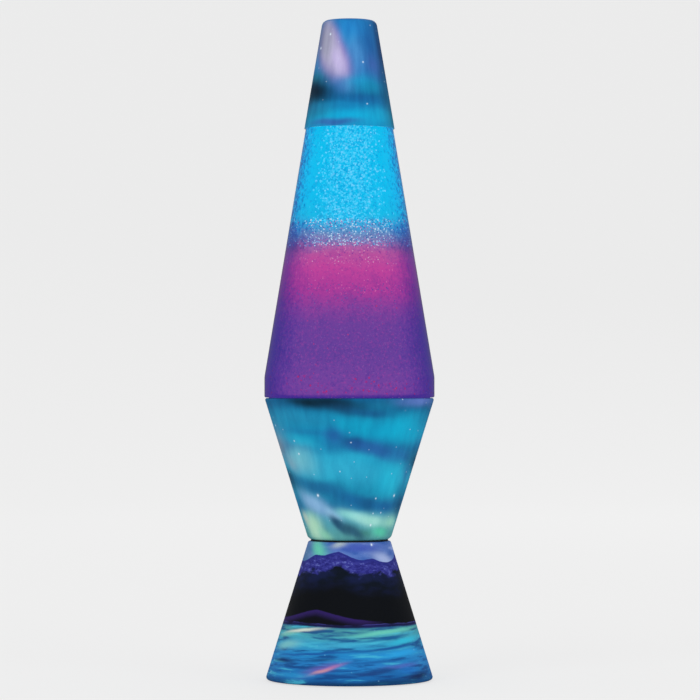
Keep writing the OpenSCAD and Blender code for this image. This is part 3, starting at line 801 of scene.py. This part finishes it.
def liquid_glow():
    """The cloudy, lit liquid: colours that change up the globe, with fine flecks of drifting flakes."""
    paint = Paint("liquid_glow")
    stir = paint.noise((10, 10, 8), 4) - 0.5
    level = paint.z + stir * 8
    bright = paint.graded(level, [(z, clear) for z, clear, _ in LIQUID], "LINEAR")
    dim = paint.graded(level, [(z, thick) for z, _, thick in LIQUID], "LINEAR")
    patches = paint.noise((6, 6, 8), 4, 0.6)
    picture = paint.mix(paint.step(patches, 0.5, 0.3) * 0.35, bright, dim)
    top = paint.step(paint.z, 250, 262)
    crowd = paint.math("COSINE", paint.azimuth * 3) * 0.5 + stir * 1.2 + 0.3
    crowd = paint.step(crowd, 0.1, 0.8) * top
    fleck = paint.noise(1.3, 3, 0.65)
    picture = paint.mix(paint.step(fleck, 0.52, 0.62) * crowd * 0.75, picture, (84, 208, 252))
    other = paint.noise(1.6, 3, 0.65, 1.07)
    picture = paint.mix(paint.step(other, 0.56, 0.66) * crowd * 0.7, picture, (116, 198, 244))
    picture = paint.mix(paint.step(fleck, 0.44, 0.34) * crowd * 0.5, picture, (0, 158, 220))
    below = paint.step(paint.z, 250, 240)
    warm = paint.mix(0.5, picture, (190, 70, 160))
    picture = paint.mix(paint.step(fleck, 0.52, 0.66) * below * 0.55, picture, warm)
    picture = paint.mix(paint.step(other, 0.48, 0.36) * below * 0.5, picture, dim)
    return unsampled(paint.finish(
        Base_Color=(0.01, 0.01, 0.02, 1),
        Roughness=0.9,
        Specular_IOR_Level=0.0,
        Emission_Color=picture,
        Emission_Strength=1.0,
    ))


def bottle_glass():
    """Clear glass with a thin, patchy colour spray that looks deeper where it is seen edge on, and a
    painted shadow line just above the base's rim.
    """
    paint = Paint("bottle_glass")
    spray = paint.step(paint.z, 232, 258)
    face_on = paint.mix(spray, (0.98, 0.94, 0.99, 1), (0.95, 0.99, 1.0, 1))
    blotches = paint.step(paint.noise((1.8, 1.8, 2.2), 3, 0.65), 0.43, 0.57)
    blue = paint.mix(blotches, (0.01, 0.08, 0.36, 1), (0.01, 0.6, 0.88, 1))
    edge_on = paint.mix(spray, (0.12, 0.2, 0.74, 1), blue)
    change = paint.step(paint.math("ABSOLUTE", paint.z - 246), 12, 4)
    edge_on = paint.mix(change * 0.85, edge_on, (0.05, 0.1, 0.48, 1))
    waves = paint.bump(paint.noise((14, 14, 40), 2), 0.04, 0.5)
    clear, deep = (
        paint.shader(
            Base_Color=shade,
            Roughness=0.02,
            IOR=1.42,
            Transmission_Weight=1.0,
            Specular_Tint=(0.15, 0.15, 0.15, 1),
            Normal=waves,
        )
        for shade in (face_on, edge_on)
    )
    facing = Wire(paint, paint.add("ShaderNodeLayerWeight", Blend=0.5).outputs["Facing"])
    patches = paint.noise((2.2, 2.2, 2.6), 3, 0.6) - 0.5
    edge = facing + patches * (spray * 0.5 + 0.4) - spray * 0.12 + change * 0.12
    # Painted shadow: from just above the base's rim downward the glass takes the deep tint, for the dark
    # line where the rim shades the globe
    rim_shadow_line = paint.step(paint.z, SHOULDER_Z + 2.2, SHOULDER_Z + 0.6) * 0.8
    share = paint.step(edge, 0.14, 0.66) + rim_shadow_line
    return paint.end_mixed(paint.math("MINIMUM", share, 1.0), clear, deep)


def lamp_glass(name="bulb_glass", tint=(0.96, 0.97, 0.96, 1), shine=0.09):
    """Thin clear glass that lets the lamp's light through."""
    paint = Paint(name)
    rim = Wire(paint, paint.add("ShaderNodeLayerWeight", Blend=0.25).outputs["Fresnel"])
    seen = paint.shader("ShaderNodeBsdfTransparent", Color=tint)
    smear = paint.noise((6, 6, 9), 3)
    gloss = paint.shader(
        "ShaderNodeBsdfGlossy", Color=(0.9, 0.93, 0.95, 1), Roughness=smear * 0.06 + 0.02
    )
    return paint.end_mixed(rim * 0.8 + shine, seen, gloss)


def foil(name, shade):
    """One tone of pearl foil, lit from below by the bulb. Each flake takes one tone of several."""
    return unsampled(Paint(name).finish(
        Base_Color=(0.01, 0.01, 0.01, 1),
        Roughness=0.6,
        Specular_IOR_Level=0.1,
        Emission_Color=shade,
        Emission_Strength=1.0,
    ))


def hot_wire():
    """The filament's glow, a little uneven along its coil."""
    paint = Paint("hot_filament")
    coils = paint.noise(0.8, 2)
    heat = paint.mix(coils, (255, 176, 84), (255, 226, 168))
    return paint.finish(
        Base_Color=(90, 60, 40),
        Roughness=0.6,
        Emission_Color=heat,
        Emission_Strength=26.0,
    )


# ---- Camera, floor and light ----

LENS = 170.4
SENSOR = 36
camera_data = bpy.data.cameras.new("camera")
camera_data.lens, camera_data.sensor_width = LENS, SENSOR
camera_data.clip_end = 20
camera = bpy.data.objects.new("camera", camera_data)
camera.location = (0.0003, -1.85, 0.1640)
aim = Vector((0.0003, 0, 0.1842))
camera.rotation_euler = (aim - camera.location).to_track_quat("-Z", "Y").to_euler()
bpy.context.collection.objects.link(camera)
bpy.context.scene.camera = camera
bpy.context.scene.view_settings.view_transform = "Standard"


def shell(name, outline, material):
    """A piece of the stage, turned from an open outline and seen from inside."""
    mesh = turned([outline], closed=False, around=96)
    mesh.flip_normals()
    mesh.materials.append(material)
    smooth(mesh, math.pi)
    ob = bpy.data.objects.new(name, mesh)
    bpy.context.collection.objects.link(ob)
    return ob


FLOOR_EDGE = 4500
floor_outline = rounded([(0, 0, 0), (FLOOR_EDGE, 0, 1800), (FLOOR_EDGE, 5200, 0)], 32)
pale = Paint("pale_stage").finish(
    Base_Color=(0.2, 0.2, 0.2, 1),
    Roughness=1.0,
    Specular_IOR_Level=0.0,
    Emission_Color=(1, 1, 1, 1),
    Emission_Strength=0.672,
)
shell("floor", densified(floor_outline, 400), pale).visible_glossy = False

world = bpy.data.worlds.new("world")
bpy.context.scene.world = world
world.use_nodes = True
world.node_tree.nodes["Background"].inputs["Color"].default_value = (1, 1, 1, 1)
world.node_tree.nodes["Background"].inputs["Strength"].default_value = 0.55
world.cycles_visibility.glossy = False


def softbox(name, place, size, power):
    """A square area light that looks at the lamp's middle."""
    data = bpy.data.lights.new(name, "AREA")
    data.shape, data.size, data.energy = "SQUARE", size, power
    lamp = bpy.data.objects.new(name, data)
    lamp.location = place
    lamp.rotation_euler = (aim - lamp.location).to_track_quat("-Z", "Y").to_euler()
    lamp.visible_glossy = False
    bpy.context.collection.objects.link(lamp)


softbox("key_light", Vector((-1.5, -2.3, 2.1)), 1.6, 22)
softbox("fill_light", Vector((1.9, -2.0, 1.2)), 1.6, 14)
softbox("back_light", Vector((0.6, 2.6, 1.9)), 1.6, 14)

# A soft dome that only reflections see: brighter overhead than below
DOME_R = 6000
dome_paint = Paint("dome")
overhead = dome_paint.step(dome_paint.z, -1500, 7000) ** 1.5
dome_light = dome_paint.mix(overhead, (0.1, 0.1, 0.1, 1), (0.8, 0.82, 0.86, 1))
dome_skin = unsampled(dome_paint.end(dome_paint.shader("ShaderNodeEmission", Color=dome_light)))
dome = shell("reflection_dome", arc((0, 0), DOME_R, -math.pi / 2, math.pi / 2, 48), dome_skin)
for kind in ("camera", "diffuse", "transmission", "shadow", "volume_scatter"):
    setattr(dome, "visible_" + kind, False)

glow_data = bpy.data.lights.new("bulb_light", "POINT")
glow_data.energy, glow_data.shadow_soft_size = 0.05, 8 * MM
glow_data.color = (1, 0.72, 0.42)
glow = bpy.data.objects.new("bulb_light", glow_data)
glow.location = (0, 0, FILAMENT_Z * MM)
bpy.context.collection.objects.link(glow)


# ---- Base ----


# Outer radii of the walls at height z


def foot_wall_r(z):
    return FOOT_R - FOOT_SLOPE * (z - FOOT_LIFT)


def holder_wall_r(z):
    return WAIST_R + HOLDER_SLOPE * (z - FLOOR_Z)


def cap_wall_r(z):
    return CAP_RIM_R - CAP_SLOPE * (z - CAP_RIM_Z)


def glass_r(z):
    return GLOBE_R + (GLASS_RIM_R - GLOBE_R) * (z - BAND_TOP_Z) / (CAP_RIM_Z - BAND_TOP_Z)


white_coat = inside_lacquer()
foot_wall = SHEET_T / math.cos(FOOT_TILT)
curl_z = FOOT_LIFT + HEM_R
touch_z = curl_z + HEM_R * math.sin(FOOT_TILT)
curl = (foot_wall_r(touch_z) - HEM_R * math.cos(FOOT_TILT), curl_z)
curl_turn = math.acos((HEM_R - SHEET_T) / HEM_R)
inner_z = WAIST_Z - SHEET_T
hem = arc(curl, HEM_R, FOOT_TILT + curl_turn - 2 * math.pi, FOOT_TILT, 40)
outside = densified(rounded([
    (*hem[-1], 0), (foot_wall_r(touch_z + 1), touch_z + 1, 0), (WAIST_R, WAIST_Z, 1.2),
    (WAIST_HOLE_R, WAIST_Z, 0),
]))
inside = densified(rounded([
    (WAIST_HOLE_R, WAIST_Z, 0), (WAIST_HOLE_R, inner_z, 0),
    (foot_wall_r(inner_z) - foot_wall, inner_z, 0.6),
    (foot_wall_r(touch_z + 2) - foot_wall, touch_z + 2, 0),
]))
lower_cone = piece(
    "lower_cone", turned([hem[:-1] + outside[:-1], inside]), [lake_print(), white_coat],
    "base", ["lower_base_cone"],
)
gland_axis = Vector((0, math.cos(FOOT_TILT), math.sin(FOOT_TILT)))
cut_round(lower_cone, (0, foot_wall_r(GLAND_Z), GLAND_Z), gland_axis, GLAND_HOLE_R, 6)

holder_wall = SHEET_T / math.cos(HOLDER_TILT)
curl_z = RIM_Z - RIM_CURL_R
touch_z = curl_z - RIM_CURL_R * math.sin(HOLDER_TILT)
curl = (holder_wall_r(touch_z) - RIM_CURL_R * math.cos(HOLDER_TILT), curl_z)
curl_turn = math.acos((RIM_CURL_R - SHEET_T) / RIM_CURL_R)
floor_top_z = FLOOR_Z + SHEET_T
outside = densified(rounded([
    (WAIST_HOLE_R, FLOOR_Z, 0), (WAIST_R, FLOOR_Z, WAIST_CORNER_R),
    (holder_wall_r(touch_z - 1), touch_z - 1, 0),
]))
curled = arc(curl, RIM_CURL_R, -HOLDER_TILT, 2 * math.pi - HOLDER_TILT - curl_turn, 32)
inside = densified(rounded([
    (holder_wall_r(touch_z - 2) - holder_wall, touch_z - 2, 0),
    (holder_wall_r(floor_top_z) - holder_wall, floor_top_z, WAIST_CORNER_R - SHEET_T),
    (WAIST_HOLE_R, floor_top_z, 0),
]))
printed = len(curled) * 3 // 8  # the print ends on the outer side of the curl
piece(
    "upper_cone", turned([outside + curled[:printed], curled[printed:] + inside]),
    [aurora_print(), white_coat], "base", ["upper_base_cone"],
)

gasket_r = WAIST_R - 1.3
gasket_outline = rounded([
    (WAIST_HOLE_R, WAIST_Z, 0), (gasket_r, WAIST_Z, 0.3),
    (gasket_r, FLOOR_Z, 0.3), (WAIST_HOLE_R, FLOOR_Z, 0),
], 5)
black_rubber = moulded("black_rubber", (16, 16, 18), 0.55, 0.6, 0.015)
piece("gasket_ring", turned([gasket_outline]), [black_rubber], "base", ["waist_gasket"])

foot_rubber = moulded("foot_rubber", (58, 58, 62), 0.75, 0.5, 0.03)
cover_plastic = moulded("cover_plastic", (30, 30, 32), 0.6, 0.45, 0.03)
zinc = metal("zinc_steel", (196, 198, 206), 0.3, (1.5, 1.5, 0.3))
ceramic = moulded("socket_ceramic", (232, 226, 210), 0.22, 1.8, 0.01, 1.05)
brass = metal("contact_brass", (222, 184, 104), 0.26, (0.3, 2, 2))
bronze = metal("contact_bronze", (214, 150, 104), 0.3, (2, 0.3, 2))
nickel = metal("nickel_plate", (206, 202, 194), 0.22, (2, 2, 0.25))
brown_sleeve = moulded("brown_insulation", (98, 56, 32), 0.4, 0.5, 0.01)
white_sleeve = moulded("white_insulation", (224, 224, 218), 0.4, 0.5, 0.01, 1.03)
nylon = moulded("splice_nylon", (226, 216, 184), 0.35, 0.8, 0.01, 1.05)
solder = metal("solder", (176, 178, 184), 0.4, (0.8, 0.8, 0.8))
black_glass = moulded("black_glass", (20, 20, 24), 0.08, 1.2, 0.008)
bulb_metal = metal("bulb_aluminium", (216, 216, 220), 0.3, (2, 2, 0.2))
wire_metal = metal("nickel_wire", (150, 148, 144), 0.35, (0.4, 0.4, 0.4))
clear_bulb = lamp_glass()
stem = lamp_glass("stem_glass", (0.9, 0.94, 0.94, 1), 0.16)
DRESSED = [
    # material, softening of the edges, nodes
    (foot_rubber, 0.2, [f"foot_pad_{k}" for k in (1, 2, 3, 4)]),
    (cover_plastic, 0.2, ["bottom_cover"]),
    (black_rubber, 0.2, ["cord_gland"]),
    (zinc, 0.1, ["socket_bracket", "waist_screws", "socket_screws"]),
    (zinc, 0.06, ["waist_washers"]),
    (zinc, 0.15, ["waist_nuts"]),
    (ceramic, 0.2, ["socket_body"]),
    (nickel, 0, ["socket_shell"]),
    (bronze, 0.06, ["centre_contact"]),
    (brass, 0.1, ["contact_rivet", "terminal_plate_1", "terminal_plate_2", "terminal_screws"]),
    (brown_sleeve, 0, ["live_lead"]),
    (white_sleeve, 0, ["neutral_lead"]),
    (nylon, 0.12, ["splice_cap_1", "splice_cap_2"]),
    (solder, 0.1, ["bulb_tip"]),
    (black_glass, 0.15, ["bulb_insulator"]),
    (bulb_metal, 0, ["bulb_screw_shell"]),
    (clear_bulb, 0, ["bulb_glass"]),
    (stem, 0.25, ["bulb_stem"]),
    (wire_metal, 0, ["bulb_wires"]),
]
for material, bevel, dressed in DRESSED:
    for node in dressed:
        dress(node, material, bevel)


# ---- Filament ----


def tube(points, radius, sides):
    """A closed tube along points, in millimetres."""
    points = np.array(points)
    ahead = np.gradient(points, axis=0)
    ahead /= np.linalg.norm(ahead, axis=1)[:, None]
    side = np.cross(ahead[0], (0, 0, 1))
    verts = []
    for p, t in zip(points, ahead):
        side = unit(side - t * (side @ t))
        up = np.cross(t, side)
        turns = np.arange(sides) * 2 * math.pi / sides
        verts += [(p + radius * (side * math.cos(a) + up * math.sin(a))) * MM for a in turns]
    faces = []
    for i in range(len(points) - 1):
        for k in range(sides):
            m = (k + 1) % sides
            faces.append((i * sides + k, i * sides + m, (i + 1) * sides + m, (i + 1) * sides + k))
    faces.append(list(range(sides))[::-1])
    faces.append([(len(points) - 1) * sides + k for k in range(sides)])
    mesh = bpy.data.meshes.new("tube")
    mesh.from_pydata([tuple(v) for v in verts], [], faces)
    return mesh


COIL_STEPS = 12  # points in one turn of the coil
coiled = []
for k in range(COIL_TURNS * COIL_STEPS + 1):
    ring = math.pi + math.pi * k / (COIL_TURNS * COIL_STEPS)
    twist = 2 * math.pi * k / COIL_STEPS
    r = FILAMENT_R + COIL_R * math.cos(twist)
    coiled.append((r * math.cos(ring), r * math.sin(ring), FILAMENT_Z + COIL_R * math.sin(twist)))
piece("filament_coil", tube(coiled, WIRE_R, 6), [hot_wire()], "bulb", ["bulb_filament"])


# ---- Globe ----

neck_wall = glass_r(NECK_Z)


def liquid_outline(gap):
    """The liquid's outline, gap inside the glass, from the middle of its foot to that of its top."""
    floor_z = HEEL_Z + FLOOR_T + gap
    top_z = FILL_Z - 1.0
    t = GLASS_T + gap
    return rounded([
        (0, HEEL_Z + 7.5 + gap, 0), (FLOOR_R, floor_z, 4), (35.6 - gap, floor_z, 4),
        (SHOULDER_R - t, SHOULDER_Z + 1, 6), (GLOBE_R - t, SHOULDER_Z + 6, 6),
        (GLOBE_R - t, BAND_TOP_Z, 14), (glass_r(FILL_Z) - t, top_z, 1.5), (0, top_z, 0),
    ])


# Down the outside and neck of the glass, then across the liquid's surface with its raised edge
surface_r = glass_r(FILL_Z) - GLASS_T
bottle_outline = rounded([
    (0, HEEL_Z + PUNT_H, 0), (PUNT_R, HEEL_Z + 0.2, 4), (HEEL_REST_R, HEEL_Z, 2), (HEEL_R, HEEL_Z, 4),
    (SHOULDER_R, SHOULDER_Z, 0.8), (GLOBE_R, SHOULDER_Z, 0.9), (GLOBE_R, BAND_TOP_Z, 15),
    (neck_wall, NECK_Z, 7), (NECK_R, NECK_Z + 8, 5), (NECK_R, LIP_Z - LIP_H - 0.8, 0.8),
    (LIP_R, LIP_Z - LIP_H, 0.4), (LIP_R, LIP_Z, 2), (MOUTH_R, LIP_Z, 1),
    (MOUTH_R, NECK_Z + 8.6, 6), (neck_wall - GLASS_T, NECK_Z - 0.6, 6),
    (surface_r, FILL_Z + 1.6, 1.4), (surface_r - 2.2, FILL_Z, 1.8), (0, FILL_Z, 0),
])
piece(
    "bottle", turned([densified(bottle_outline, 6)], closed=False), [bottle_glass()],
    "globe", ["globe_glass"],
)
piece(
    "glowing_liquid", turned([densified(liquid_outline(CLEAR_SKIN))], closed=False), [liquid_glow()],
    "globe", ["liquid_fill"],
)


def flakes(name, count, low, high, across, gather, tones):
    """Six-sided foil flakes that float under the glass.

    gather is how much they draw into three columns; tones is a list of (share, name, colour).
    """
    z = rng.uniform(low, high, count)
    wall = np.minimum(GLOBE_R, glass_r(z)) - GLASS_T
    turn = rng.uniform(-math.pi, math.pi, 4 * count)
    crowded = (0.5 + 0.5 * np.cos(3 * (turn + math.pi / 2))) ** gather
    turn = turn[rng.uniform(0, 1, 4 * count) < crowded][:count]
    r = wall - FLAKE_GAP - rng.uniform(0, 1, count) ** 0.8 * FLAKE_REACH
    size = rng.uniform(0.7, 1.25, count) * across / 2
    outward = np.stack([np.cos(turn), np.sin(turn), np.zeros(count)], 1)
    normal = outward + rng.normal(0, FLAKE_TILT, (count, 3))
    normal /= np.linalg.norm(normal, axis=1)[:, None]
    side = np.cross(normal, rng.normal(0, 1, (count, 3)))
    side /= np.linalg.norm(side, axis=1)[:, None]
    up = np.cross(normal, side)
    centre = np.stack([r * np.cos(turn), r * np.sin(turn), z], 1)
    corner = np.arange(6) * math.pi / 3
    spread = side[:, None] * np.cos(corner)[None, :, None] + up[:, None] * np.sin(corner)[None, :, None]
    flat = centre[:, None] + spread * size[:, None, None]
    lift = normal[:, None] * (FLAKE_T / 2)
    verts = np.concatenate([flat - lift, flat + lift], 1).reshape(-1, 3) * MM
    one = [(5, 4, 3, 2, 1, 0), (6, 7, 8, 9, 10, 11)]
    one += [(k, (k + 1) % 6, 6 + (k + 1) % 6, 6 + k) for k in range(6)]
    faces = [tuple(12 * n + k for k in face) for n in range(count) for face in one]
    mesh = bpy.data.meshes.new(name)
    mesh.from_pydata([tuple(v) for v in verts], [], faces)
    shares = np.array([share for share, _, _ in tones])
    picked = rng.choice(len(tones), count, p=shares / shares.sum())
    mesh.polygons.foreach_set("material_index", np.repeat(picked, len(one)))
    materials = [foil("foil_" + tone, shade) for _, tone, shade in tones]
    piece(name, mesh, materials, "globe", ["glitter"])


GLITTER = [
    # name, count, lowest, highest, width, gather, (share, tone, colour) of each kind of flake
    ("glitter_top", 9000, 254, FILL_Z - 3, 1.15, 1.1, [
        (0.24, "azure", (0, 178, 232)),
        (0.28, "cyan", (40, 200, 247)),
        (0.26, "sky", (80, 206, 250)),
        (0.08, "lilac", (106, 206, 251)),
        (0.14, "blue", (0, 168, 226)),
    ]),
    ("glitter_middle", 3000, 241, 256, 0.75, 0.3, [
        (0.36, "slate", (52, 112, 176)),
        (0.2, "periwinkle", (128, 164, 218)),
        (0.3, "pale", (186, 214, 240)),
        (0.14, "orchid", (150, 108, 178)),
    ]),
    ("glitter_rose", 900, 231, 243, 0.7, 0.5, [
        (0.4, "magenta", (184, 72, 156)),
        (0.3, "pink", (196, 104, 168)),
        (0.2, "blush", (208, 150, 190)),
        (0.1, "plum", (132, 56, 150)),
    ]),
    ("glitter_fine", 900, 214, 236, 0.7, 0.3, [
        (0.5, "rose", (186, 70, 154)),
        (0.3, "berry", (170, 54, 148)),
        (0.2, "candy", (202, 96, 166)),
    ]),
    ("glitter_violet", 2000, SHOULDER_Z + 6, 220, 0.8, 0.2, [
        (0.45, "violet", (114, 68, 158)),
        (0.25, "purple", (120, 74, 160)),
        (0.28, "grape", (100, 62, 152)),
        (0.02, "ruby", (176, 52, 120)),
    ]),
    ("glitter_settled", 190, SHOULDER_Z + 2, SHOULDER_Z + 12, 1.25, 0.3, [
        (0.25, "red", (166, 38, 116)),
        (0.35, "crimson", (144, 48, 136)),
        (0.4, "wine", (130, 54, 144)),
    ]),
]
for row in GLITTER:
    flakes(*row)


# ---- Crown closure and cap ----

dress("crown_liner", moulded("liner", (214, 210, 198), 0.7, 0.6, 0.02, 1.05), 0.1)


def fluted(r, z, angles):
    """The crown's skirt, pressed into flutes that open downwards."""
    start_z = CROWN_Z - 1.6
    down = min(1.0, max(0.0, (start_z - z) / (start_z - CROWN_SKIRT_Z)))
    ridges = (0.5 - 0.5 * np.cos(angles * CROWN_FLUTES)) ** 1.4
    return r + ridges * 0.85 * down ** 1.2 * (r > LIP_R - 1.1)


tinplate = metal("gold_tinplate", (244, 206, 112), 0.27, (2.5, 2.5, 0.4), 0.12, 0.8)
crown_outline = densified(rounded([
    (0, LIP_Z + LINER_T, 0), (CROWN_TOP_R - CROWN_T, LIP_Z + LINER_T, 1.7),
    (CROWN_SKIRT_R - CROWN_T, CROWN_SKIRT_Z, 0), (CROWN_SKIRT_R, CROWN_SKIRT_Z, 0),
    (CROWN_TOP_R, CROWN_Z, 2), (0, CROWN_Z, 0),
]), 0.6)
piece(
    "crown", turned([crown_outline], closed=False, around=336, ripple=fluted), [tinplate],
    "globe", ["crown_cap"],
)

cap_wall = CAP_T / math.cos(math.atan(CAP_SLOPE))
lid_z = LAMP_H - CAP_T
outside = densified(rounded([(CAP_RIM_R, CAP_RIM_Z, 0), (CAP_TOP_R, LAMP_H, 3.5), (0, LAMP_H, 0)]))
inside = densified(rounded([
    (0, lid_z, 0), (cap_wall_r(lid_z) - cap_wall, lid_z, 3), (CAP_RIM_R - cap_wall, CAP_RIM_Z, 0),
]))
grey_coat = moulded("cap_inside", (168, 170, 176), 0.4, 1.2, 0.008, 1.08)
piece("cap", turned([outside, inside]), [sky_print(), grey_coat], "cap", ["cap_shell"])
